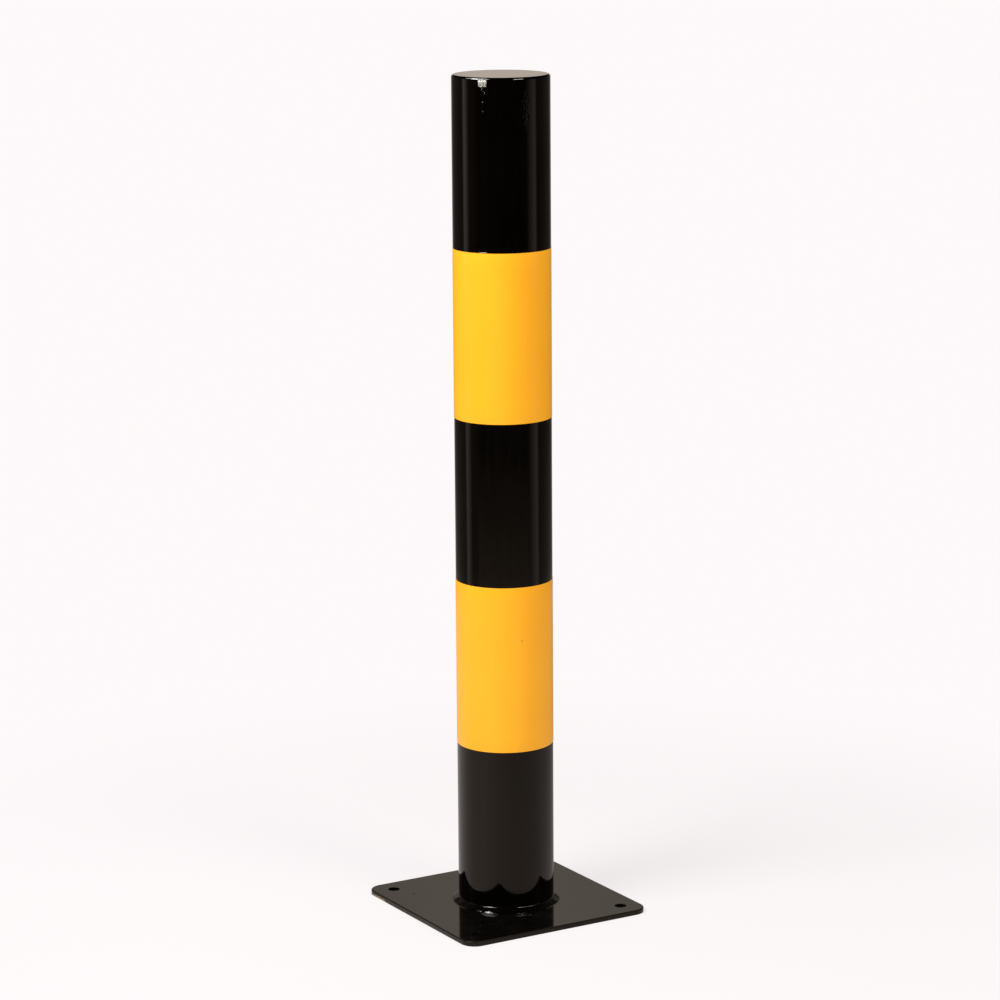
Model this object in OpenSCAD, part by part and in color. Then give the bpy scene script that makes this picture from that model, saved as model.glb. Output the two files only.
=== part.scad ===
// Fixed safety bollard: a capped steel tube welded to a square plate that is bolted
// to the floor, with two yellow bands of film wrapped round the black post.
// Millimetres, +Z up. The origin is the centre of the plate's underside,
// and the sides of the plate lie along X and Y.

/* [Post] */
// Height over all, from the floor to the top of the cap
total_h = 1000; // [820:10:1400]
// Outside diameter of the tube, over its paint
tube_d = 115; // [80:0.1:200]
// Wall of the steel tube
tube_wall = 3.6; // [2:0.1:8]

/* [Top cap] */
// Thickness of the disc that closes the tube
cap_t = 5; // [4:0.5:12]
// Rounding of the upper rim of the disc
cap_rim_r = 3; // [1:0.5:4]

/* [Base plate] */
// Length of each side of the square plate
plate_side = 250; // [205:5:400]
// Thickness of the plate
plate_t = 6; // [4:0.5:20]
// Radius of the four corners, seen from above
plate_corner_r = 18; // [4:1:60]
// Rounding of the upper edge all the way round
plate_edge_r = 1; // [0.5:0.1:2]

/* [Anchor holes] */
// Diameter of each of the four holes
anchor_d = 14; // [8:0.5:24]
// Distance from the centre of a hole to each of the two nearest sides
anchor_inset = 25; // [16:1:45]

/* [Foot weld] */
// How far the weld bead reaches out over the plate
weld_out = 7; // [3:0.5:10]
// How far the weld bead reaches up the tube
weld_up = 5.5; // [3:0.5:10]
// Bulge of the bead above a straight line from toe to toe
weld_crown = 0.8; // [0.2:0.1:1.5]

/* [Yellow bands] */
// Height of each band
band_h = 200; // [60:5:240]
// Thickness of the film with its adhesive
band_t = 0.3; // [0.1:0.05:1]
// Bare post between the plate and the lower band
band_foot_gap = 197.5; // [20:0.5:220]
// Bare post between the two bands
band_mid_gap = 195; // [20:0.5:220]
// Open joint where the two ends of the film meet, at the back of the post
band_seam = 1; // [0.2:0.1:4]

/* [Hidden] */
$fn = 96;

// Extra length of a cutting solid past the faces that it cuts
past = 1;
tube_r = tube_d / 2;
tube_base_z = plate_t;
tube_top_z = total_h - cap_t;
lower_band_z = plate_t + band_foot_gap;
upper_band_z = lower_band_z + band_h + band_mid_gap;
anchor_x = plate_side / 2 - anchor_inset;
corner_x = plate_side / 2 - plate_corner_r;

// Arc of the bead through both toes, worked out from its chord and its bulge
weld_chord = sqrt(weld_out * weld_out + weld_up * weld_up);
weld_arc_r = weld_chord * weld_chord / (8 * weld_crown) + weld_crown / 2;
weld_arc_back = weld_arc_r - weld_crown;
weld_arc_x = tube_r + weld_out / 2 - weld_arc_back * weld_up / weld_chord;
weld_arc_z = weld_up / 2 - weld_arc_back * weld_out / weld_chord;

// Square slab with round corners, pulled in by the same amount on every side
module rounded_slab(inset, height) {
    straight = 2 * corner_x;
    across = plate_side - 2 * inset;
    linear_extrude(height)
        union() {
            square([straight, across], center = true);
            square([across, straight], center = true);
            for (x = [-corner_x, corner_x], y = [-corner_x, corner_x])
                translate([x, y])
                    circle(r = plate_corner_r - inset);
        }
}

// Quarter of a disc, the outline of a rounded edge
module quarter_round(r) {
    intersection() {
        circle(r = r);
        square(r);
    }
}

// Rounding of the upper edge: a straight length on each side and a turn at each corner
module edge_round() {
    edge_x = plate_side / 2 - plate_edge_r;
    for (turn = [0:90:270])
        rotate([0, 0, turn]) {
            translate([edge_x, corner_x, 0])
                rotate([90, 0, 0])
                    linear_extrude(2 * corner_x)
                        quarter_round(plate_edge_r);
            translate([corner_x, corner_x, 0])
                rotate_extrude(angle = 90)
                    translate([plate_corner_r - plate_edge_r, 0])
                        quarter_round(plate_edge_r);
        }
}

// One wrap of film on the tube, its open joint towards +Y
module film_wrap() {
    difference() {
        cylinder(r = tube_r + band_t, h = band_h);
        translate([0, 0, -past])
            cylinder(r = tube_r, h = band_h + 2 * past);
        translate([-band_seam / 2, 0, -past])
            cube([band_seam, tube_r + band_t + past, band_h + 2 * past]);
    }
}

module base_plate() {
    color("#4a4440")
        difference() {
            union() {
                rounded_slab(0, plate_t - plate_edge_r);
                rounded_slab(plate_edge_r, plate_t);
                translate([0, 0, plate_t - plate_edge_r])
                    edge_round();
            }
            for (x = [-anchor_x, anchor_x], y = [-anchor_x, anchor_x])
                translate([x, y, -past])
                    cylinder(d = anchor_d, h = plate_t + 2 * past);
        }
}

module post_tube() {
    color("#1a1816")
        translate([0, 0, tube_base_z])
            difference() {
                cylinder(r = tube_r, h = tube_top_z - tube_base_z);
                translate([0, 0, -past])
                    cylinder(r = tube_r - tube_wall, h = tube_top_z - tube_base_z + 2 * past);
            }
}

module top_cap() {
    rim_x = tube_r - cap_rim_r;
    rim_z = cap_t - cap_rim_r;
    color("#24211f")
        translate([0, 0, tube_top_z])
            rotate_extrude()
                union() {
                    square([rim_x, cap_t]);
                    square([tube_r, rim_z]);
                    translate([rim_x, rim_z])
                        quarter_round(cap_rim_r);
                }
}

module foot_weld() {
    reach = max(weld_out, weld_up) + weld_crown;
    color("#0e0d0c")
        translate([0, 0, tube_base_z])
            rotate_extrude()
                intersection() {
                    translate([tube_r, 0])
                        square([reach, reach]);
                    translate([weld_arc_x, weld_arc_z])
                        circle(r = weld_arc_r);
                }
}

module lower_band() {
    color("#fbb624")
        translate([0, 0, lower_band_z])
            film_wrap();
}

module upper_band() {
    color("#fbb624")
        translate([0, 0, upper_band_z])
            film_wrap();
}

base_plate();
post_tube();
top_cap();
foot_weld();
lower_band();
upper_band();
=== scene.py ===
import math

import bmesh
import bpy
from mathutils import Matrix, Vector, noise


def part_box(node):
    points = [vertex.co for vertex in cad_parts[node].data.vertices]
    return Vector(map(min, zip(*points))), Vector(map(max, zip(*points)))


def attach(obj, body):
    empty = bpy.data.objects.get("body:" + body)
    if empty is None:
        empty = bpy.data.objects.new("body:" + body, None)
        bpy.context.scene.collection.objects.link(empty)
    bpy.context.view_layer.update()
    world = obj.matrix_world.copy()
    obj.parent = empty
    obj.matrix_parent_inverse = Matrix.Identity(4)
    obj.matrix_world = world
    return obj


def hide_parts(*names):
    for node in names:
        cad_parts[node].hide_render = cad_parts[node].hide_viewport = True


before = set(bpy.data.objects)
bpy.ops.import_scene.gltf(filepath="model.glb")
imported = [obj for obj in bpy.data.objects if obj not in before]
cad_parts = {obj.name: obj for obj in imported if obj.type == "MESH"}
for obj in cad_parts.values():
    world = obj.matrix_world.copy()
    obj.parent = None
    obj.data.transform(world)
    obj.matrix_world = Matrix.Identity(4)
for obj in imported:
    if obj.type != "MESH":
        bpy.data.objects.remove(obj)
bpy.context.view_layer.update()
print("frame loaded, nodes:", ", ".join(sorted(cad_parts)))

mm = 0.001
fullTurn = 2 * math.pi
mergeGap = 0.005 * mm      # points closer than this become one
levelGap = 0.01 * mm       # points this close to a height lie on it

# Camera: how far off, how high, how far round to the left of -Y, and its tilts in degrees
cameraSetup = dict(distance=4.0920, height=1.3512, turn=30.7756, pan=-0.0598, pitch=11.7839,
                   roll=-0.4064, lens=127.2316, sensor=36.0, farClip=100.0)


# Helpers for objects and edit mode

def clearSelection():
    for thing in list(bpy.context.selected_objects):
        thing.select_set(False)
    bpy.context.view_layer.objects.active = None


def activate(piece):
    clearSelection()
    piece.select_set(True)
    bpy.context.view_layer.objects.active = piece


def pick(piece, kind, test):
    # selects the vertices, edges or faces of the piece that pass the test, and nothing else
    bpy.ops.mesh.select_mode(type=kind)
    bpy.ops.mesh.select_all(action="DESELECT")
    mesh = bmesh.from_edit_mesh(piece.data)
    items = {"VERT": mesh.verts, "EDGE": mesh.edges, "FACE": mesh.faces}[kind]
    for item in items:
        item.select_set(bool(test(item)))
    mesh.select_flush_mode()
    bmesh.update_edit_mesh(piece.data)


def softShade(piece, angle):
    activate(piece)
    bpy.ops.object.shade_smooth_by_angle(angle=math.radians(angle), keep_sharp_edges=False)


def steps(start, end, count):
    return [start + (end - start) * step / count for step in range(count + 1)]


def arc(centreR, centreZ, radius, fromAngle, toAngle, count):
    # points of an arc in the section plane, angles in degrees from +r towards +z
    points = []
    for degrees in steps(fromAngle, toAngle, count):
        angle = math.radians(degrees)
        points.append((centreR + radius * math.cos(angle), centreZ + radius * math.sin(angle)))
    return points


def clamp(value):
    return min(1.0, max(0.0, value))


def arcGap(x, y, angle, radius):
    # distance round the post from that angle, along a circle of that radius
    away = (math.degrees(math.atan2(y, x)) - angle + 180) % 360 - 180
    return math.radians(away) * radius


def spunPiece(name, section, count, closed, startAngle=0.0, sweep=360.0):
    # draws the section from one vertex, point by point, and spins it round the post's axis
    start = math.radians(startAngle)
    along = Vector((math.cos(start), math.sin(start), 0))
    places = [along * r + Vector((0, 0, z)) for r, z in section]
    clearSelection()
    bpy.ops.mesh.primitive_plane_add(size=mm, location=(0, 0, 0))
    piece = bpy.context.object
    piece.name = piece.data.name = name
    bpy.ops.object.mode_set(mode="EDIT")
    bpy.ops.mesh.select_mode(type="VERT")
    bpy.ops.mesh.select_all(action="SELECT")
    bpy.ops.mesh.merge(type="CENTER")
    bpy.ops.transform.translate(value=places[0])
    for before, after in zip(places, places[1:]):
        bpy.ops.mesh.extrude_vertices_move(TRANSFORM_OT_translate={"value": after - before})
    if closed:
        last = len(places) - 1
        pick(piece, "VERT", lambda v: v.index in (0, last))
        bpy.ops.mesh.edge_face_add()
    bpy.ops.mesh.select_all(action="SELECT")
    bpy.ops.mesh.spin(steps=count, angle=math.radians(sweep), center=(0, 0, 0), axis=(0, 0, 1))
    bpy.ops.mesh.select_all(action="SELECT")
    bpy.ops.mesh.remove_doubles(threshold=mergeGap)
    if sweep < 360:      # the two ends are closed
        bpy.ops.mesh.select_all(action="SELECT")
        bpy.ops.mesh.fill_holes(sides=0)
    bpy.ops.mesh.select_all(action="SELECT")
    bpy.ops.mesh.normals_make_consistent(inside=False)
    bpy.ops.object.mode_set(mode="OBJECT")
    return piece


def seatPiece(piece, node, material):
    piece.data.materials.clear()
    piece.data.materials.append(material)
    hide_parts(node)
    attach(piece, "root")
    low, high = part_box(node)
    print("made", piece.name, "with", len(piece.data.vertices), "vertices in place of", node,
          "between", tuple(round(v, 4) for v in low), "and", tuple(round(v, 4) for v in high))


# Helpers for shader nodes

def addNode(tree, kind, inputs=None, **settings):
    node = tree.nodes.new(kind)
    for name, value in settings.items():
        setattr(node, name, value)
    for key, value in (inputs or {}).items():
        socket = node.inputs[key]
        if isinstance(value, bpy.types.NodeSocket):
            tree.links.new(value, socket)
        else:
            socket.default_value = value
    return node


def calc(tree, operation, *values):
    return addNode(tree, "ShaderNodeMath", dict(enumerate(values)), operation=operation).outputs[0]


def mapRange(tree, value, fromMin, fromMax, toMin=0.0, toMax=1.0, kind="LINEAR"):
    inputs = {"Value": value, "From Min": fromMin, "From Max": fromMax, "To Min": toMin, "To Max": toMax}
    return addNode(tree, "ShaderNodeMapRange", inputs, interpolation_type=kind).outputs[0]


def fade(tree, value, *limits):
    # as mapRange, with soft ends
    return mapRange(tree, value, *limits, kind="SMOOTHSTEP")


def mixValues(tree, factor, first, second):
    return calc(tree, "MULTIPLY_ADD", factor, calc(tree, "SUBTRACT", second, first), first)


def blendColours(tree, factor, first, second):
    # the colour sockets of a Mix node are 6 and 7, and 2 on the way out
    return addNode(tree, "ShaderNodeMix", {0: factor, 6: first, 7: second}, data_type="RGBA").outputs[2]


def splitVector(tree, vector):
    return addNode(tree, "ShaderNodeSeparateXYZ", {0: vector}).outputs


def vectorLength(tree, vector):
    return addNode(tree, "ShaderNodeVectorMath", {0: vector}, operation="LENGTH").outputs["Value"]


def squareReach(tree, vector):
    # how far out the vector goes along X or Y, whichever is more
    parts = splitVector(tree, vector)
    return calc(tree, "MAXIMUM", calc(tree, "ABSOLUTE", parts[0]), calc(tree, "ABSOLUTE", parts[1]))


def noiseValue(tree, vector, scale, detail, roughness=0.5):
    inputs = {"Vector": vector, "Scale": scale, "Detail": detail, "Roughness": roughness}
    return addNode(tree, "ShaderNodeTexNoise", inputs).outputs[0]


def newGroup(name, values, result):
    # a group that takes a vector and the named values, and gives one value
    group = bpy.data.node_groups.new(name, "ShaderNodeTree")
    group.interface.new_socket("Vector", in_out="INPUT", socket_type="NodeSocketVector")
    for label, value in values.items():
        socket = group.interface.new_socket(label, in_out="INPUT", socket_type="NodeSocketFloat")
        socket.default_value = value
    group.interface.new_socket(result, in_out="OUTPUT", socket_type="NodeSocketFloat")
    given = group.nodes.new("NodeGroupInput").outputs
    return group, given, group.nodes.new("NodeGroupOutput").inputs[result]


def useGroup(tree, group, inputs):
    return addNode(tree, "ShaderNodeGroup", inputs, node_tree=group).outputs[0]


# Effects that all finishes share, each a node group

peelNoise = dict(detail={"Fine": 2.0, "Wave": 1.0}, roughness=0.45)


def makePaintPeel():
    # orange peel: a fine pebbled skin with slower waves under it, as a height in metres
    group, given, result = newGroup("paintPeel", {
        "Fine Size": 0.002, "Fine Depth": 0.000004, "Wave Size": 0.02, "Wave Depth": 0.00001}, "Height")
    heights = []
    for kind, detail in peelNoise["detail"].items():
        perMetre = calc(group, "DIVIDE", 1.0, given[kind + " Size"])
        scaled = addNode(group, "ShaderNodeVectorMath", {0: given["Vector"], "Scale": perMetre},
                         operation="SCALE").outputs[0]
        pebbles = noiseValue(group, scaled, 1.0, detail, peelNoise["roughness"])
        centred = calc(group, "SUBTRACT", pebbles, 0.5)
        heights.append(calc(group, "MULTIPLY", centred, given[kind + " Depth"]))
    group.links.new(calc(group, "ADD", *heights), result)
    return group


speckShape = dict(smallest=0.3, core=0.5, shaded=-0.2, open=0.9, shadedShare=0.35)


def makeSettledDust():
    # scattered specks, a few of them large, denser on faces that look up
    group, given, result = newGroup("settledDust", {
        "Spacing": 0.006, "Speck Size": 0.08, "Share": 0.3}, "Mask")
    perMetre = calc(group, "DIVIDE", 1.0, given["Spacing"])
    cells = addNode(group, "ShaderNodeTexVoronoi", {"Vector": given["Vector"], "Scale": perMetre}).outputs
    chance = addNode(group, "ShaderNodeSeparateColor", {0: cells["Color"]}).outputs
    size = fade(group, chance[1], 0, 1, speckShape["smallest"], 1.0)
    radius = calc(group, "MULTIPLY", given["Speck Size"], size)
    inner = calc(group, "MULTIPLY", radius, speckShape["core"])
    speck = calc(group, "SUBTRACT", 1.0, fade(group, cells["Distance"], inner, radius))
    facing = splitVector(group, group.nodes.new("ShaderNodeNewGeometry").outputs["Normal"])[2]
    upward = fade(group, facing, speckShape["shaded"], speckShape["open"], speckShape["shadedShare"], 1.0)
    there = calc(group, "LESS_THAN", chance[0], calc(group, "MULTIPLY", given["Share"], upward))
    group.links.new(calc(group, "MULTIPLY", speck, there), result)
    return group


wipeNoise = dict(detail=3.0, roughness=0.55, faint=0.38, strong=0.72)


def makeWipeMarks():
    # long soft marks that run down the surface, as a cloth or rain leaves them
    group, given, result = newGroup("wipeMarks", {"Width": 0.005, "Length": 0.12}, "Mask")
    parts = splitVector(group, given["Vector"])
    stretched = {0: calc(group, "DIVIDE", parts[0], given["Width"]),
                 1: calc(group, "DIVIDE", parts[1], given["Width"]),
                 2: calc(group, "DIVIDE", parts[2], given["Length"])}
    drawn = addNode(group, "ShaderNodeCombineXYZ", stretched).outputs[0]
    marks = noiseValue(group, drawn, 1.0, wipeNoise["detail"], wipeNoise["roughness"])
    group.links.new(fade(group, marks, wipeNoise["faint"], wipeNoise["strong"]), result)
    return group


tearNoise = dict(detail=3.0, roughness=0.6)


def makeRaggedSpot():
    # one spot with a torn outline; the vector is centred on it and is 1 long at its edge
    group, given, result = newGroup("raggedSpot", {
        "Square": 0.0, "Ragged": 0.5, "Grain": 2.5, "Soft": 0.15}, "Mask")
    rounded = vectorLength(group, given["Vector"])
    size = addNode(group, "ShaderNodeVectorMath", {0: given["Vector"]}, operation="ABSOLUTE").outputs[0]
    sides = splitVector(group, size)
    boxed = calc(group, "MAXIMUM", calc(group, "MAXIMUM", sides[0], sides[1]), sides[2])
    reach = mixValues(group, given["Square"], rounded, boxed)
    tear = noiseValue(group, given["Vector"], given["Grain"], tearNoise["detail"], tearNoise["roughness"])
    shift = calc(group, "MULTIPLY", calc(group, "SUBTRACT", tear, 0.5), given["Ragged"])
    edge = calc(group, "ADD", reach, shift)
    inner = calc(group, "SUBTRACT", 1.0, given["Soft"])
    group.links.new(calc(group, "SUBTRACT", 1.0, fade(group, edge, inner, 1.0)), result)
    return group


paintPeel = makePaintPeel()
settledDust = makeSettledDust()
wipeMarks = makeWipeMarks()
raggedSpot = makeRaggedSpot()
print("shared effects made")


# Finishes. The places and sizes of spots are in metres, and a spot is turned by degrees round Z.

def spotMask(tree, place, spot):
    turned = (0, 0, math.radians(spot.get("turned", 0.0)))
    centred = addNode(tree, "ShaderNodeMapping", {
        "Vector": place, "Location": spot["at"], "Rotation": turned, "Scale": spot["size"]},
        vector_type="TEXTURE").outputs[0]
    return useGroup(tree, raggedSpot, {
        "Vector": centred, "Square": spot.get("square", 0.0), "Ragged": spot.get("ragged", 0.6),
        "Grain": spot.get("tear", 2.5), "Soft": spot.get("soft", 0.2)})


def newMaterial(name):
    material = bpy.data.materials.new(name)
    material.use_nodes = True
    tree = material.node_tree
    tree.nodes.clear()
    return material, tree, tree.nodes.new("ShaderNodeTexCoord").outputs["Object"]


def layEffects(tree, place, look):
    # the wipe marks, the dust and the peel, at the sizes that the look gives
    marks = useGroup(tree, wipeMarks, {
        "Vector": place, "Width": look["markWidth"], "Length": look["markLength"]})
    dusty = useGroup(tree, settledDust, {
        "Vector": place, "Spacing": look["dustSpacing"], "Speck Size": look["speckSize"],
        "Share": look["dustShare"]})
    peel = useGroup(tree, paintPeel, {
        "Vector": place, "Fine Size": look["peelSize"], "Fine Depth": look["peelDepth"],
        "Wave Size": look["waveSize"], "Wave Depth": look["waveDepth"]})
    return marks, dusty, peel


def finishSurface(tree, height, inputs):
    bump = addNode(tree, "ShaderNodeBump", {"Strength": 1.0, "Distance": 1.0, "Height": height})
    shader = addNode(tree, "ShaderNodeBsdfPrincipled", dict(inputs, Normal=bump.outputs[0]))
    addNode(tree, "ShaderNodeOutputMaterial", {"Surface": shader.outputs[0]})


enamel = dict(
    wiped=(0.0044, 0.0038, 0.0032, 1),      # a breath of dust left by wiping
    dust=(0.10, 0.09, 0.08, 1), dustTint=0.35, dustDull=0.3,
    # the tint warms every reflection in the enamel: a painted warm cast for the warm room around the post
    shine=0.28, tint=(1.0, 0.86, 0.73, 1), roughness=0.045, dullest=0.10,
    patchDetail=3.0, paleFrom=0.35, paleTo=0.7, coarseDetail=2.0,
    spotGrain=900.0, spotDetail=4.0, spotMixFrom=0.35, spotMixTo=0.65, edgeSoft=0.0008)


def makeEnamel(name, look):
    # gloss black enamel: the look gives this piece's peel, its coarse places, and its spots of wear, of
    # dirt and of painted highlight
    material, tree, place = newMaterial(name)
    marks, dusty, height = layEffects(tree, place, look)
    patches = noiseValue(tree, place, look["patchScale"], enamel["patchDetail"])
    colour = blendColours(tree, fade(tree, patches, enamel["paleFrom"], enamel["paleTo"]),
                          look["black"], look["pale"])
    colour = blendColours(tree, calc(tree, "MULTIPLY", marks, look["wiped"]), colour, enamel["wiped"])
    colour = blendColours(tree, calc(tree, "MULTIPLY", dusty, enamel["dustTint"]), colour, enamel["dust"])
    roughness = calc(tree, "MULTIPLY_ADD", marks, enamel["dullest"] - enamel["roughness"],
                     enamel["roughness"])
    roughness = calc(tree, "MULTIPLY_ADD", dusty, enamel["dustDull"], roughness)
    for coarse in look.get("coarse", ()):
        skin = noiseValue(tree, place, 1 / coarse["grain"], enamel["coarseDetail"])
        mask = spotMask(tree, place, coarse)
        depth = calc(tree, "MULTIPLY", mask, coarse["rise"])
        height = calc(tree, "MULTIPLY_ADD", calc(tree, "SUBTRACT", skin, 0.5), depth, height)
        if "lean" in coarse:      # faces upwards a little, so it catches the lamps
            level = splitVector(tree, place)[2]
            below = calc(tree, "SUBTRACT", coarse["leanFrom"], level)
            leaning = calc(tree, "MULTIPLY", below, coarse["lean"])
            height = calc(tree, "MULTIPLY_ADD", mask, leaning, height)
    metallic = 0.0
    # spots of wear and dirt, and on the post a paler spot that paints part of a highlight
    for spot in look.get("spotsOfWearDirtAndHighlight", ()):
        mask = spotMask(tree, place, spot)
        grain = noiseValue(tree, place, enamel["spotGrain"], enamel["spotDetail"])
        spotColour = blendColours(tree, fade(tree, grain, enamel["spotMixFrom"], enamel["spotMixTo"]),
                            spot["colour"], spot["deeper"])
        colour = blendColours(tree, mask, colour, spotColour)
        roughness = calc(tree, "MULTIPLY_ADD", mask, spot["roughness"] - enamel["roughness"], roughness)
        height = calc(tree, "MULTIPLY_ADD", mask, -spot["depth"], height)
        if "bare" in spot:
            metallic = calc(tree, "MAXIMUM", metallic, calc(tree, "MULTIPLY", mask, spot["bare"]))
    if "edgeDull" in look:      # the outer edge is scuffed by handling
        edge = 0.0
        for reach, start in ((squareReach(tree, place), look["edgeFrom"]),
                             (vectorLength(tree, place), look["cornerFrom"])):
            edge = calc(tree, "MAXIMUM", edge, fade(tree, reach, start, start + enamel["edgeSoft"]))
        roughness = calc(tree, "MULTIPLY_ADD", edge, look["edgeDull"], roughness)
    finishSurface(tree, height, {
        "Base Color": colour, "Roughness": roughness, "Metallic": metallic,
        "Specular IOR Level": enamel["shine"], "Specular Tint": enamel["tint"]})
    return material


film = dict(
    colour=(0.98, 0.440, 0.016, 1),      # warning yellow, well towards orange
    deeper=(0.96, 0.425, 0.014, 1), deeperFrom=0.3, deeperTo=0.7,
    smudge=(0.55, 0.20, 0.02, 1), dustTint=0.25,
    shine=0.25, roughness=0.20, dullest=0.30, patchScale=14.0, patchDetail=3.0,
    markWidth=0.007, markLength=0.16, dustSpacing=0.016, speckSize=0.035, dustShare=0.35,
    peelSize=0.0018, peelDepth=0.0000035, waveSize=0.014, waveDepth=0.000012,
    specks=[dict(at=(-0.0100, -0.0569, 0.3391), size=(0.0012, 0.0012, 0.0013), strength=0.75),
            dict(at=(-0.0095, -0.0569, 0.3350), size=(0.0007, 0.0007, 0.0022), strength=0.30),
            dict(at=(-0.0447, -0.0367, 0.3286), size=(0.0014, 0.0014, 0.0010), strength=0.28)])


def makeFilm(name):
    # smooth yellow film over the painted tube
    material, tree, place = newMaterial(name)
    marks, dusty, height = layEffects(tree, place, film)
    patches = noiseValue(tree, place, film["patchScale"], film["patchDetail"])
    colour = blendColours(tree, fade(tree, patches, film["deeperFrom"], film["deeperTo"]),
                          film["colour"], film["deeper"])
    colour = blendColours(tree, calc(tree, "MULTIPLY", dusty, film["dustTint"]), colour, film["smudge"])
    for speck in film["specks"]:
        mask = calc(tree, "MULTIPLY", spotMask(tree, place, speck), speck["strength"])
        colour = blendColours(tree, mask, colour, film["smudge"])
    roughness = calc(tree, "MULTIPLY_ADD", marks, film["dullest"] - film["roughness"], film["roughness"])
    finishSurface(tree, height, {
        "Base Color": colour, "Roughness": roughness, "Specular IOR Level": film["shine"]})
    return material


# The enamel on each piece: sizes, depths and heights in metres, patchScale in patches to the metre,
# and wiped and dustShare as shares of the surface. Peel and waves are the paint's own unevenness.
postBlack = dict(
    black=(0.0003, 0.0002, 0.0001, 1),      # the black itself, a little warm
    pale=(0.0009, 0.0006, 0.0004, 1))       # where it is thinner
postLook = dict(
    postBlack, patchScale=9.0, markWidth=0.006, markLength=0.10, wiped=0.10,
    dustSpacing=0.011, speckSize=0.10, dustShare=0.10,
    peelSize=0.0021, peelDepth=0.0000045, waveSize=0.020, waveDepth=0.00005,
    coarse=[
        # thick, dimpled paint under the rim, on either side of the ground weld
        dict(at=(-0.0028, -0.0574, 0.9630), size=(0.0085, 0.0060, 0.0300), turned=-2.8,
             ragged=0.8, grain=0.0032, soft=0.5, rise=0.0009),
        dict(at=(-0.0452, -0.0356, 0.9780), size=(0.0060, 0.0060, 0.0200), turned=-51.8,
             ragged=0.8, grain=0.0030, soft=0.5, rise=0.0003),
        # where the cap's weld was ground off: rough, and leaning back under the rim
        dict(at=(-0.0456, -0.0350, 0.9939), size=(0.0060, 0.0060, 0.0051), turned=-52.1,
             square=0.8, ragged=0.35, tear=3.5, grain=0.0011, soft=0.15, rise=0.00034,
             lean=0.42, leanFrom=0.9985)],
    spotsOfWearDirtAndHighlight=[
        # the same place, duller, and paler: the pale colour is painted highlight, part of the lamp's glint
        # on the ground patch
        dict(at=(-0.0456, -0.0350, 0.9940), size=(0.0060, 0.0060, 0.0053), turned=-52.1,
             square=0.8, ragged=0.35, tear=3.0, soft=0.20, colour=(0.02, 0.018, 0.015, 1),
             deeper=(0.001, 0.001, 0.001, 1), roughness=0.27, depth=0.0)])
plateLook = dict(
    black=(0.0018, 0.0016, 0.0013, 1), pale=(0.0034, 0.0031, 0.0026, 1),
    patchScale=22.0, markWidth=0.012, markLength=0.03, wiped=0.25,
    dustSpacing=0.009, speckSize=0.10, dustShare=0.22,
    peelSize=0.0024, peelDepth=0.000004, waveSize=0.030, waveDepth=0.00002,
    edgeFrom=0.1238, cornerFrom=0.1680, edgeDull=0.30,
    spotsOfWearDirtAndHighlight=[
        # worn through to the steel along the lower edge, by the left corner
        dict(at=(-0.1255, 0.0925, -0.0002), size=(0.004, 0.022, 0.0030),
             ragged=0.9, tear=4.0, soft=0.12, colour=(0.52, 0.36, 0.21, 1),
             deeper=(0.20, 0.10, 0.035, 1), roughness=0.42, depth=0.00012, bare=0.35),
        # a crumb of something dark stuck in the paint
        dict(at=(-0.0888, 0.0709, 0.0062), size=(0.0026, 0.0018, 0.0008),
             ragged=0.5, tear=3.0, soft=0.4, colour=(0.002, 0.002, 0.002, 1),
             deeper=(0.006, 0.005, 0.004, 1), roughness=0.5, depth=-0.0003)])
weldLook = dict(
    postBlack, patchScale=40.0, markWidth=0.004, markLength=0.01, wiped=0.15,
    dustSpacing=0.007, speckSize=0.10, dustShare=0.15,
    peelSize=0.0026, peelDepth=0.000008, waveSize=0.008, waveDepth=0.000025)

blackPaintPost = makeEnamel("blackPaintPost", postLook)
blackPaintPlate = makeEnamel("blackPaintPlate", plateLook)
blackPaintWeld = makeEnamel("blackPaintWeld", weldLook)
yellowFilm = makeFilm("yellowFilm")
print("finishes made")


# Post tube, in mm. A row is a height and the number of steps from there to the next row: they stand
# close together where the paint has lumps.
tube = dict(
    radius=57.5, wall=3.6, steps=512, smoothAngle=40,
    rows=[(6.0, 1), (8.0, 1), (12.0, 1), (20.0, 19), (780.0, 1), (797.0, 20), (803.0, 1), (806.0, 1),
          (820.0, 1), (850.0, 5), (950.0, 1), (956.0, 78), (995.0, 0)],
    innerRows=(995.0, 900.0, 500.0, 100.0, 6.0),
    liftFrom=790.0, outerShare=0.6)      # the share of the wall, from outside, that the paint lifts

# Lumps in the thick paint: angle round the post, height, half width, half height and rise, all but
# the angle in mm. The cluster under the rim is where the cap's weld was ground and painted over.
paintLumps = [
    dict(angle=-142.8, z=986.4, wide=0.9, high=1.0, rise=1.00),
    dict(angle=-141.0, z=984.4, wide=0.9, high=1.0, rise=0.85),
    dict(angle=-139.4, z=982.2, wide=1.0, high=1.0, rise=1.10),
    dict(angle=-142.1, z=975.4, wide=0.9, high=0.8, rise=0.40),
    dict(angle=-142.1, z=971.4, wide=1.1, high=1.0, rise=0.62),
    dict(angle=-141.8, z=961.3, wide=1.1, high=1.0, rise=0.62),
    dict(angle=-149.9, z=979.0, wide=1.8, high=0.8, rise=0.30),
    # ridge of paint over the upper film
    dict(angle=-143.2, z=799.1, wide=9.0, high=0.55, rise=0.39, square=2)]
groundPatch = dict(
    angle=-142.1, z=992.8, wide=6.4, high=5.0, power=1.5, firm=2.5,
    grain=1.2, level=0.35, rise=0.24, lean=0.06,
    top=997.0, fades=0.8)      # it fades out below the rim's rounding


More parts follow.
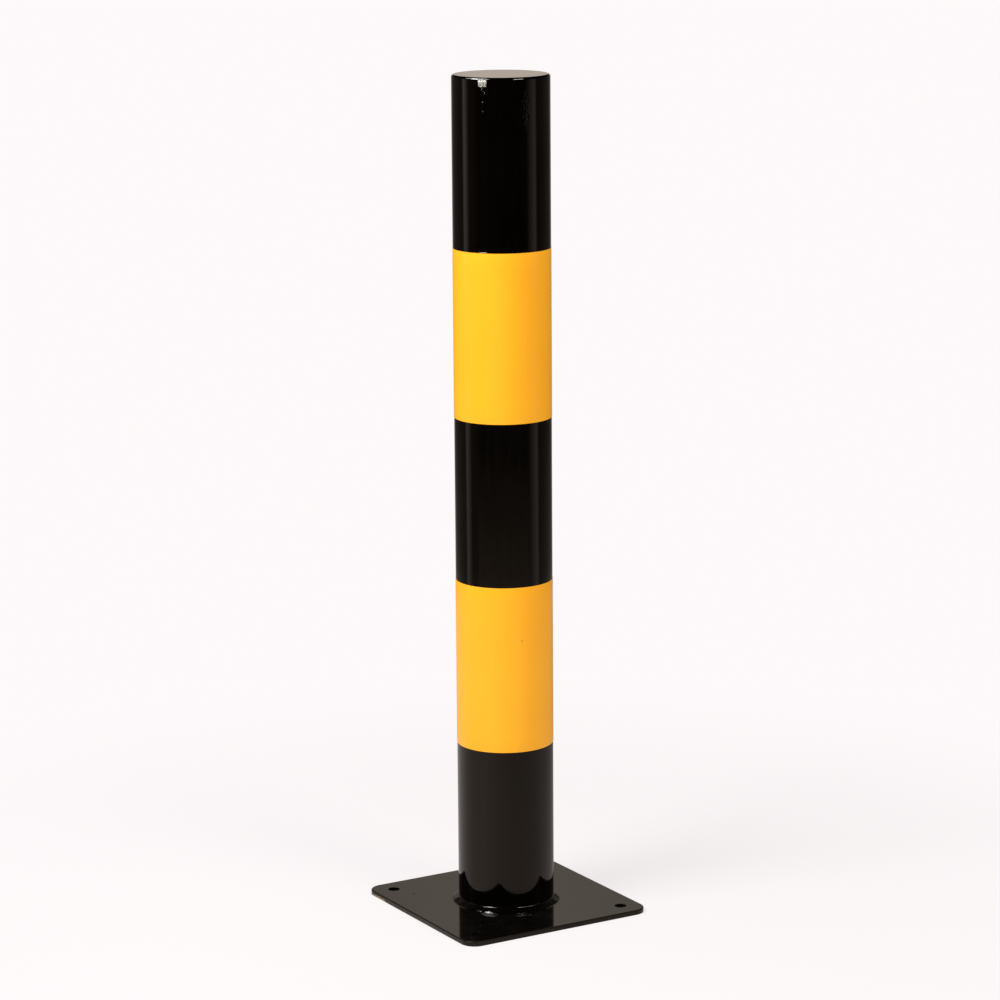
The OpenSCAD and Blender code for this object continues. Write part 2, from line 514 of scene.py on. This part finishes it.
def paintRise(x, y, z):
    # how far the paint stands out there, in mm; x, y and z in mm
    rise = 0.0
    for lump in paintLumps:
        across = arcGap(x, y, lump["angle"], tube["radius"]) / lump["wide"]
        up = (z - lump["z"]) / lump["high"]
        rise += lump["rise"] * math.exp(-abs(across) ** (2 * lump.get("square", 1)) - up * up)
    patch = groundPatch
    across = arcGap(x, y, patch["angle"], tube["radius"]) / patch["wide"]
    up = (z - patch["z"]) / patch["high"]
    inside = max(0.0, 1 - (across * across + up * up) ** patch["power"])
    inside *= clamp((patch["top"] - z) / patch["fades"])
    if inside > 0:
        grain = noise.noise(Vector((x, y, z)) / patch["grain"])
        leaning = -patch["lean"] * up * patch["high"]
        rise += clamp(patch["firm"] * inside) * (patch["rise"] * (patch["level"] + grain) + leaning)
    return rise


def liftPaint(piece, lowest):
    # moves the outer wall out by the paint's rise
    inner = tube["radius"] - tube["outerShare"] * tube["wall"]
    for vertex in piece.data.vertices:
        x, y, z = vertex.co / mm
        if z > lowest and math.hypot(x, y) > inner:
            outward = Vector((x, y, 0)).normalized()
            vertex.co += outward * paintRise(x, y, z) * mm


def makePostTube():
    outer = tube["radius"] * mm
    inner = outer - tube["wall"] * mm
    heights = []
    for row, nextRow in zip(tube["rows"], tube["rows"][1:]):
        heights += steps(row[0], nextRow[0], row[1])[:-1]
    heights.append(tube["rows"][-1][0])
    section = [(outer, z * mm) for z in heights] + [(inner, z * mm) for z in tube["innerRows"]]
    piece = spunPiece("postTube", section, tube["steps"], closed=True)
    liftPaint(piece, tube["liftFrom"])
    softShade(piece, tube["smoothAngle"])
    return piece


seatPiece(makePostTube(), "post_tube", blackPaintPost)


# Top cap, in mm: rows across its face, its rounded rim, its side and its underside
cap = dict(radius=57.5, bottom=995.0, top=1000.0, rimRadius=3.0, rimSteps=14, sideSteps=4, smoothAngle=50,
           faceRows=(0.0, 12.0, 26.0, 40.0, 50.0, 53.5, 54.2), underRows=(53.0, 30.0, 0.0),
           dish=0.10, dishRadius=50.0, liftFrom=994.9)


def makeTopCap():
    outer, low, high, rim, dished = (
        cap[key] * mm for key in ("radius", "bottom", "top", "rimRadius", "dishRadius"))
    section = [(r * mm, high) for r in cap["faceRows"]]
    section += arc(outer - rim, high - rim, rim, 90, 0, cap["rimSteps"])
    section += [(outer, z) for z in steps(high - rim, low, cap["sideSteps"])[1:]]
    section += [(r * mm, low) for r in cap["underRows"]]
    piece = spunPiece("topCap", section, tube["steps"], closed=False)
    for vertex in piece.data.vertices:      # the disc drew in a little as its weld cooled
        radius = math.hypot(vertex.co.x, vertex.co.y)
        if vertex.co.z > high - levelGap and radius < dished:
            vertex.co.z -= cap["dish"] * mm * (1 - (radius / dished) ** 2) ** 2
    liftPaint(piece, cap["liftFrom"])
    softShade(piece, cap["smoothAngle"])
    return piece


seatPiece(makeTopCap(), "top_cap", blackPaintPost)


# Base plate, in mm. A face is a side while its normal's Z is under upright, and flat when it is over flat.
plate = dict(side=250.0, thickness=6.0, cornerRadius=18.0, cornerSteps=20, topRound=1.3, topSteps=7,
             underRound=0.35, underSteps=2, holeInset=25.0, holeRadius=7.0, holeSteps=64,
             punchLength=3, holeRound=0.15, holeRoundSteps=3,      # the punch is 3 thicknesses long
             upright=0.5, flat=0.9999, smoothAngle=40)


def isRim(edge, z):
    # an edge at that height which ends a side or a hole's wall
    level = all(abs(v.co.z - z) < levelGap for v in edge.verts)
    return level and any(abs(face.normal.z) < plate["upright"] for face in edge.link_faces)


def roundOff(size, count):
    bpy.ops.mesh.bevel(offset=size * mm, segments=count, affect="EDGES")


def punchHole(piece, x, y, thick):
    clearSelection()
    bpy.ops.mesh.primitive_cylinder_add(vertices=plate["holeSteps"], radius=plate["holeRadius"] * mm,
                                        depth=plate["punchLength"] * thick, location=(x, y, thick / 2))
    punch = bpy.context.object
    activate(piece)
    cut = piece.modifiers.new("punch", "BOOLEAN")
    cut.operation = "DIFFERENCE"
    cut.solver = "EXACT"
    cut.object = punch
    bpy.ops.object.modifier_apply(modifier=cut.name)
    bpy.data.objects.remove(punch)


def makeBasePlate():
    side = plate["side"] * mm
    thick = plate["thickness"] * mm
    clearSelection()
    bpy.ops.mesh.primitive_cube_add(size=1, location=(0, 0, thick / 2))
    piece = bpy.context.object
    piece.name = piece.data.name = "basePlate"
    piece.scale = (side, side, thick)
    bpy.ops.object.transform_apply(location=True, rotation=True, scale=True)
    bpy.ops.object.mode_set(mode="EDIT")
    pick(piece, "EDGE", lambda e: abs(e.verts[0].co.z - e.verts[1].co.z) > thick / 2)
    roundOff(plate["cornerRadius"], plate["cornerSteps"])
    pick(piece, "EDGE", lambda e: isRim(e, thick))
    roundOff(plate["topRound"], plate["topSteps"])
    pick(piece, "EDGE", lambda e: isRim(e, 0))
    roundOff(plate["underRound"], plate["underSteps"])
    bpy.ops.object.mode_set(mode="OBJECT")

    reach = side / 2 - plate["holeInset"] * mm
    for x in (-reach, reach):
        for y in (-reach, reach):
            punchHole(piece, x, y, thick)
    activate(piece)
    bpy.ops.object.mode_set(mode="EDIT")
    pick(piece, "EDGE", lambda e: isRim(e, thick))
    roundOff(plate["holeRound"], plate["holeRoundSteps"])
    bpy.ops.object.mode_set(mode="OBJECT")
    softShade(piece, plate["smoothAngle"])
    for face in piece.data.polygons:      # the rounded edges' shading stays off the flat faces
        if abs(face.normal.z) > plate["flat"]:
            face.use_smooth = False
    return piece


seatPiece(makeBasePlate(), "base_plate", blackPaintPlate)


# Foot weld, in mm. The bead's face lies between its two toes, and shares of the way from the upper
# toe to the lower one say where it starts and stops and where the folds begin.
bead = dict(
    tube=57.5, floor=6.0, out=7.0, up=5.5, crown=0.25, points=24, steps=900, smoothAngle=60,
    startAt=0.07, stopAt=0.89, topFillet=1.2, topSteps=6, toeFillet=2.0, toeSteps=5, toeRun=0.3,
    toeMargin=0.001, underFace=-0.3, firm=1.6,      # only the face is rippled, and its toes stay put
    ripplePitch=3.1, rippleRise=0.08, crescent=2.2, stray=1.5,
    lumpSize=11.0, lumpRise=0.42, fineShare=0.22, fineRise=0.042,
    restartLevel=0.8, restartGrain=0.3, foldsBelow=0.45, foldsFade=0.25, foldsCalm=0.8)

# Where the welder stopped and started again: angle, half length in mm, and how much it stands out.
# Two of them have long smooth folds in place of the ripples.
restarts = [
    dict(angle=-141.2, long=4.8, rise=0.26, folds=1.6, foldRise=0.26, foldFrom=-2.0),
    dict(angle=-150.0, long=1.2, rise=0.08, folds=1.6, foldRise=0.04, foldFrom=-2.0),
    dict(angle=-52.0, long=4.0, rise=0.40), dict(angle=28.0, long=5.0, rise=0.55),
    dict(angle=118.0, long=4.5, rise=0.50), dict(angle=-200.0, long=5.5, rise=0.80),
    dict(angle=-32.0, long=4.0, rise=0.50)]

# The two toes and the way the bead bulges, as (r, z), and the ripples along its middle
beadTop = Vector((bead["tube"], bead["floor"] + bead["up"]))
beadFoot = Vector((bead["tube"] + bead["out"], bead["floor"]))
beadOutward = Vector((bead["up"], bead["out"])).normalized()
beadMiddle = bead["tube"] + bead["out"] / 2
beadRipples = round(fullTurn * beadMiddle / bead["ripplePitch"])


def bulge(t):
    # 0 at either toe of the bead and 1 halfway
    return 4 * t * (1 - t)


def filletAt(meeting, upper, lower, radius):
    # the angle at which a fillet of paint meets the bead's face, and the fillet's centre
    turn = 270 - math.degrees(math.atan2(upper.y - lower.y, lower.x - upper.x))
    outward = Vector((math.cos(math.radians(turn)), math.sin(math.radians(turn))))
    return turn, meeting - outward * radius


def beadSection():
    # paint runs into the corner above the bead and into the one below it
    face = []
    for t in steps(bead["startAt"], bead["stopAt"], bead["points"]):
        face.append(beadTop.lerp(beadFoot, t) + beadOutward * bead["crown"] * bulge(t))
    turn, centre = filletAt(face[0], face[0], face[1], bead["topFillet"])
    line = [(bead["tube"], centre.y)]
    line += arc(centre.x, centre.y, bead["topFillet"], 180, turn, bead["topSteps"])[1:-1]
    line += [(point.x, point.y) for point in face]
    turn, centre = filletAt(face[-1], face[-2], face[-1], bead["toeFillet"])
    below = arc(centre.x, centre.y, bead["toeFillet"], turn, 270, bead["toeSteps"])[1:]
    line += [(r, z) for r, z in below if z > bead["floor"]]
    line += [(line[-1][0] + bead["toeRun"], bead["floor"]), (bead["tube"], bead["floor"])]
    return [(r * mm, z * mm) for r, z in line]


def beadRise(place, t):
    # how far the bead's face stands out there, in mm: lumps, ripples, stops and starts
    angle = math.atan2(place.y, place.x)
    swell = noise.noise(Vector((place.x, place.y, 0)) / (bead["lumpSize"] * mm))
    small = noise.noise(place / (bead["fineShare"] * bead["lumpSize"] * mm))
    ripple = math.cos(beadRipples * angle - bead["crescent"] * bulge(t) + bead["stray"] * swell)
    fine = bead["rippleRise"] * ripple + bead["fineRise"] * small
    rise = bead["lumpRise"] * swell
    for stop in restarts:
        along = arcGap(place.x, place.y, stop["angle"], beadMiddle) / stop["long"]
        there = math.exp(-along ** 4)      # near 1 over its length, and 0 past it
        rise += there * stop["rise"] * (bead["restartLevel"] + bead["restartGrain"] * small)
        if "folds" in stop:
            fold = math.cos(fullTurn * stop["folds"] * t + stop["foldFrom"])
            low = clamp((t - bead["foldsBelow"]) / bead["foldsFade"])
            rise += there * stop["foldRise"] * low * fold
            fine *= 1 - bead["foldsCalm"] * there
    return rise + fine


def makeFootWeld():
    piece = spunPiece("footWeld", beadSection(), bead["steps"], closed=True)
    chord = beadFoot - beadTop
    for vertex in piece.data.vertices:
        outward = Vector((vertex.co.x, vertex.co.y, 0))
        point = Vector((outward.length, vertex.co.z)) / mm
        t = (point - beadTop).dot(chord) / chord.length_squared
        over = (point - beadTop.lerp(beadFoot, t)).dot(beadOutward)
        if bead["toeMargin"] < t < 1 - bead["toeMargin"] and over > bead["underFace"]:
            rise = beadRise(vertex.co, t) * clamp(bead["firm"] * bulge(t))
            shift = beadOutward * rise * mm
            vertex.co += outward.normalized() * shift.x + Vector((0, 0, shift.y))
    softShade(piece, bead["smoothAngle"])
    return piece


seatPiece(makeFootWeld(), "foot_weld", blackPaintWeld)


# Yellow bands, in mm: film wrapped round the tube, with its ends a gap apart at the joint's angle
wrap = dict(inner=57.5, thickness=0.3, edgeRound=0.12, edgeSteps=4, height=200.0, rows=12, steps=480,
            lower=203.5, upper=598.5, joint=90.0, gap=1.0, smoothAngle=50)


def makeBand(name, bottom):
    inner = wrap["inner"] * mm
    outer = inner + wrap["thickness"] * mm
    edge = wrap["edgeRound"] * mm
    low = bottom * mm
    high = (bottom + wrap["height"]) * mm
    section = [(inner, low)] + arc(outer - edge, low + edge, edge, -90, 0, wrap["edgeSteps"])
    section += [(outer, z) for z in steps(low + edge, high - edge, wrap["rows"])[1:-1]]
    section += arc(outer - edge, high - edge, edge, 0, 90, wrap["edgeSteps"]) + [(inner, high)]
    opening = math.degrees(wrap["gap"] / wrap["inner"])
    piece = spunPiece(name, section, wrap["steps"], closed=True,
                      startAngle=wrap["joint"] + opening / 2, sweep=360 - opening)
    softShade(piece, wrap["smoothAngle"])
    return piece


seatPiece(makeBand("lowerBand", wrap["lower"]), "lower_band", yellowFilm)
seatPiece(makeBand("upperBand", wrap["upper"]), "upper_band", yellowFilm)


# Floor, reflection tent and lights, in metres

def around(azimuth, distance, height):
    # a point seen from the post: azimuth is in degrees from the camera, positive to the camera's right
    angle = math.radians(azimuth - 90 - cameraSetup["turn"])
    return Vector((distance * math.cos(angle), distance * math.sin(angle), height))


def cameraAzimuth(tree, place):
    # the same azimuth, of the point that is shaded
    turn = (0, 0, math.radians(90 + cameraSetup["turn"]))
    turned = addNode(tree, "ShaderNodeMapping", {"Vector": place, "Rotation": turn}).outputs[0]
    parts = splitVector(tree, turned)
    return calc(tree, "DEGREES", calc(tree, "ARCTAN2", parts[1], parts[0]))


def greyRamp(tree, value, low, high, stops):
    # a curve of brightness over the value, drawn through the stops
    scaled = calc(tree, "DIVIDE", calc(tree, "SUBTRACT", value, low), high - low)
    ramp = addNode(tree, "ShaderNodeValToRGB", {0: scaled})
    marks = ramp.color_ramp.elements
    while len(marks) < len(stops):
        marks.new(0.5)
    for mark, (at, level) in zip(marks, stops):
        mark.position = (at - low) / (high - low)
        mark.color = (level, level, level, 1)
    return ramp.outputs[0]


studio = dict(
    background=(0.982, 0.947, 0.955, 1), ambient=0.50,
    floorColour=(0.752, 0.732, 0.738, 1), floorRadius=9.0, floorPoints=128,
    # the floor's own colour is painted dark within the plate's footprint: painted shade where the plate
    # hides it
    paintedShadeUnderPlate=(0.10, 0.09, 0.08, 1), plateHalf=0.124, plateCorner=0.166,
    seenShare=0.74, mirroredShare=0.75,      # how far the floor near the post is glow: plain background to the camera, painted light and shade to the gloss
    plainFrom=0.25, plainTo=1.1,
    # painted light and shade of the paper as the gloss shows it: a tint, and a brightness by azimuth that
    # falls off away from the key lamp and is lowest in the post's shadow
    paintedReflectionTint=(0.982, 0.89, 0.84, 1),
    mirrored=[(-180, 0.45), (-147, 0.62), (-118, 0.78), (-85, 0.80), (-50, 1.0), (-12, 0.76), (15, 0.60),
              (90, 0.62), (125, 0.38), (150, 0.24), (180, 0.30)])


def makeWorld():
    world = bpy.data.worlds.new("paleRoom")
    bpy.context.scene.world = world
    world.use_nodes = True
    tree = world.node_tree
    tree.nodes.clear()
    path = tree.nodes.new("ShaderNodeLightPath").outputs
    seen = calc(tree, "MAXIMUM", path["Is Camera Ray"], path["Is Glossy Ray"])
    seen = calc(tree, "MAXIMUM", seen, path["Is Transmission Ray"])
    strength = calc(tree, "MULTIPLY_ADD", seen, 1 - studio["ambient"], studio["ambient"])
    background = addNode(tree, "ShaderNodeBackground", {
        "Color": studio["background"], "Strength": strength})
    addNode(tree, "ShaderNodeOutputWorld", {"Surface": background.outputs[0]})


def makeFloor():
    # near the post the floor keeps part of its own light and shadow, further out it is plain background to
    # the camera; to the gloss it glows with painted light and shade by azimuth
    clearSelection()
    bpy.ops.mesh.primitive_circle_add(vertices=studio["floorPoints"], radius=studio["floorRadius"],
                                      fill_type="NGON", location=(0, 0, 0))
    floor = bpy.context.object
    floor.name = floor.data.name = "paleFloor"
    material, tree, place = newMaterial("palePaper")
    reach = vectorLength(tree, place)
    path = tree.nodes.new("ShaderNodeLightPath").outputs
    mirrored = calc(tree, "MAXIMUM", path["Is Glossy Ray"], path["Is Transmission Ray"])
    seenPlain, mirroredPlain = (
        fade(tree, reach, studio["plainFrom"], studio["plainTo"], studio[key], 1.0)
        for key in ("seenShare", "mirroredShare"))
    plain = calc(tree, "MULTIPLY_ADD", path["Is Camera Ray"], seenPlain,
                 calc(tree, "MULTIPLY", mirrored, mirroredPlain))
    beside = calc(tree, "MAXIMUM",
                  calc(tree, "GREATER_THAN", squareReach(tree, place), studio["plateHalf"]),
                  calc(tree, "GREATER_THAN", reach, studio["plateCorner"]))
    plain = calc(tree, "MULTIPLY", plain, beside)
    # under the plate the paper is painted dark as painted shade, and it has no glow
    paper = addNode(tree, "ShaderNodeBsdfDiffuse", {
        "Color": blendColours(tree, beside, studio["paintedShadeUnderPlate"], studio["floorColour"])})
    # to the gloss the floor glows with painted light and shade: brighter towards the key lamp, darkest in
    # the post's shadow
    paintedLightByAzimuth = greyRamp(tree, cameraAzimuth(tree, place), -180, 180, studio["mirrored"])
    strength = mixValues(tree, mirrored, 1.0, paintedLightByAzimuth)
    glowColour = blendColours(tree, mirrored, studio["background"], studio["paintedReflectionTint"])
    glow = addNode(tree, "ShaderNodeEmission", {"Color": glowColour, "Strength": strength})
    mixed = addNode(tree, "ShaderNodeMixShader", {0: plain, 1: paper.outputs[0], 2: glow.outputs[0]})
    addNode(tree, "ShaderNodeOutputMaterial", {"Surface": mixed.outputs[0]})
    material.cycles.emission_sampling = "NONE"
    floor.data.materials.append(material)


# Dark cards round the set, which only reflections see and which glow: a painted reflection of the room
# that keeps the gloss black deep. Brightness by height in front, at the sides and behind, and two pale
# strips whose painted reflections draw the long lines in the paint.
tent = dict(
    radius=1.5, foot=0.001, wallTop=1.25, shelfRadius=3.0, shelfTop=1.6, ceiling=3.6, ceilingTop=3.9,
    steps=96, warm=(1.0, 0.86, 0.74, 1), overhead=0.02,
    front=[(0.0, 0.90), (0.08, 0.35), (0.28, 0.055), (0.60, 0.015), (1.20, 0.005)],
    side=[(0.0, 0.50), (0.08, 0.17), (0.30, 0.10), (0.75, 0.09), (1.20, 0.14)], sideFrom=54.0, sideTo=68.0,
    behind=[(0.0, 0.44), (0.35, 0.455), (0.60, 0.53), (1.20, 0.76)], behindFrom=142.0, behindTo=180.0,
    # each strip rises and falls over these azimuths, and is dimmer at its lower height
    strips=[dict(rise=(-101.4, -94.6), fall=(-93.8, -80.0), low=0.68, high=0.92),
            dict(rise=(60.0, 80.5), fall=(83.6, 89.6), low=0.49, high=0.52)],
    lowAt=0.25, highAt=0.75, lean=3.2,      # degrees to the right for each metre down
    stripFoot=(0.0, 0.06), belowGap=(0.43, 0.46), aboveGap=(0.52, 0.55))


def makeTent():
    section = [(tent["radius"], tent["foot"]), (tent["radius"], tent["wallTop"]),
               (tent["shelfRadius"], tent["shelfTop"]), (tent["shelfRadius"], tent["ceiling"]),
               (0.0, tent["ceilingTop"])]
    cards = spunPiece("darkCards", section, tent["steps"], closed=False)
    material, tree, place = newMaterial("reflectionCardGlow")
    azimuth = cameraAzimuth(tree, place)
    height = splitVector(tree, place)[2]
    front, side, behind = (
        greyRamp(tree, height, 0, tent["wallTop"], tent[key]) for key in ("front", "side", "behind"))
    off = calc(tree, "ABSOLUTE", azimuth)
    wall = mixValues(tree, fade(tree, off, tent["sideFrom"], tent["sideTo"]), front, side)
    wall = mixValues(tree, fade(tree, off, tent["behindFrom"], tent["behindTo"]), wall, behind)
    onWall = calc(tree, "LESS_THAN", height, tent["wallTop"])
    wall = calc(tree, "MAXIMUM", calc(tree, "MULTIPLY", wall, onWall), tent["overhead"])

    # the strips fade in above the floor, and have a gap about half a metre up
    foot = mapRange(tree, height, *tent["stripFoot"])
    below = mapRange(tree, height, *tent["belowGap"], 1.0, 0.0)
    above = mapRange(tree, height, *tent["aboveGap"])
    reach = calc(tree, "MULTIPLY", calc(tree, "MULTIPLY", foot, onWall), calc(tree, "ADD", below, above))
    overHigh = calc(tree, "SUBTRACT", height, tent["highAt"])
    leaned = calc(tree, "MULTIPLY_ADD", overHigh, tent["lean"], azimuth)
    pale = 0.0
    for strip in tent["strips"]:
        rise = mapRange(tree, leaned, *strip["rise"])
        fall = mapRange(tree, leaned, *strip["fall"], 1.0, 0.0)
        strength = mapRange(tree, height, tent["lowAt"], tent["highAt"], strip["low"], strip["high"])
        glow = calc(tree, "MULTIPLY", calc(tree, "MULTIPLY", rise, fall), strength)
        pale = calc(tree, "MULTIPLY_ADD", glow, reach, pale)
    warmLight = addNode(tree, "ShaderNodeEmission", {"Color": tent["warm"], "Strength": wall})
    paleLight = addNode(tree, "ShaderNodeEmission", {"Color": (1, 1, 1, 1), "Strength": pale})
    both = addNode(tree, "ShaderNodeAddShader", {0: warmLight.outputs[0], 1: paleLight.outputs[0]})
    addNode(tree, "ShaderNodeOutputMaterial", {"Surface": both.outputs[0]})
    material.cycles.emission_sampling = "NONE"
    cards.data.materials.append(material)
    for ray in ("camera", "diffuse", "transmission", "volume_scatter", "shadow"):
        setattr(cards, "visible_" + ray, False)


# Area lamps: azimuth, distance, height, width, tall and the height they aim at, power in watts. The
# flashes are cool, only the gloss shows them, and flags keep them off all but the pieces named.
cool = (0.80, 0.92, 1.0)
leftFlash = dict(distance=1.70, height=2.40, aim=0.8, colour=cool)
rightFlash = dict(distance=1.85, aim=0.8, colour=cool)
lamps = dict(
    softKey=dict(azimuth=-52, distance=1.75, height=2.35, wide=1.1, tall=1.1, power=69, aim=0.5),
    sideFill=dict(azimuth=46, distance=1.9, height=2.2, wide=0.8, tall=0.35, power=21, aim=0.6,
                  colour=(1.0, 0.90, 0.82)),
    rimCore=dict(leftFlash, azimuth=-60, wide=1.30, tall=0.75, power=270, only=["topCap"]),
    rimWing=dict(leftFlash, azimuth=-88, wide=0.9, tall=0.60, power=30, only=["topCap"]),
    patchCore=dict(leftFlash, azimuth=-58, wide=1.10, tall=0.75, power=90, only=["postTube"]),
    weldCore=dict(leftFlash, azimuth=-55, wide=0.75, tall=0.75, power=220, only=["footWeld"]),
    sideCore=dict(rightFlash, azimuth=45, height=2.25, wide=0.85, tall=0.3, power=36,
                  only=["topCap", "postTube"]),
    weldSide=dict(rightFlash, azimuth=56, height=2.15, wide=1.7, tall=0.3, power=60, only=["footWeld"]))


def makeLamp(name, lamp):
    data = bpy.data.lights.new(name, "AREA")
    data.shape = "RECTANGLE"
    data.size = lamp["wide"]
    data.size_y = lamp["tall"]
    data.energy = lamp["power"]
    data.color = lamp.get("colour", (1, 1, 1))
    item = bpy.data.objects.new(name, data)
    bpy.context.scene.collection.objects.link(item)
    item.location = around(lamp["azimuth"], lamp["distance"], lamp["height"])
    item.rotation_euler = (Vector((0, 0, lamp["aim"])) - item.location).to_track_quat("-Z", "Y").to_euler()
    item.visible_camera = False
    if "only" in lamp:
        item.visible_diffuse = False
        lit = bpy.data.collections.new(name + "Pieces")
        for piece in lamp["only"]:
            lit.objects.link(bpy.data.objects[piece])
        item.light_linking.receiver_collection = lit


def makeCamera():
    data = bpy.data.cameras.new("photoCamera")
    data.sensor_width = cameraSetup["sensor"]
    data.lens = cameraSetup["lens"]
    data.clip_end = cameraSetup["farClip"]
    camera = bpy.data.objects.new("photoCamera", data)
    bpy.context.scene.collection.objects.link(camera)
    place = Matrix.Translation(around(0, cameraSetup["distance"], cameraSetup["height"]))
    turn = Matrix.Rotation(math.radians(-cameraSetup["turn"] - cameraSetup["pan"]), 4, "Z")
    pitch = Matrix.Rotation(math.radians(90 - cameraSetup["pitch"]), 4, "X")
    roll = Matrix.Rotation(math.radians(cameraSetup["roll"]), 4, "Z")
    camera.matrix_world = place @ turn @ pitch @ roll
    bpy.context.scene.camera = camera


makeWorld()
makeFloor()
makeTent()
for lampName, lampSetup in lamps.items():
    makeLamp(lampName, lampSetup)
makeCamera()
bpy.context.scene.view_settings.view_transform = "Standard"
print("studio ready")
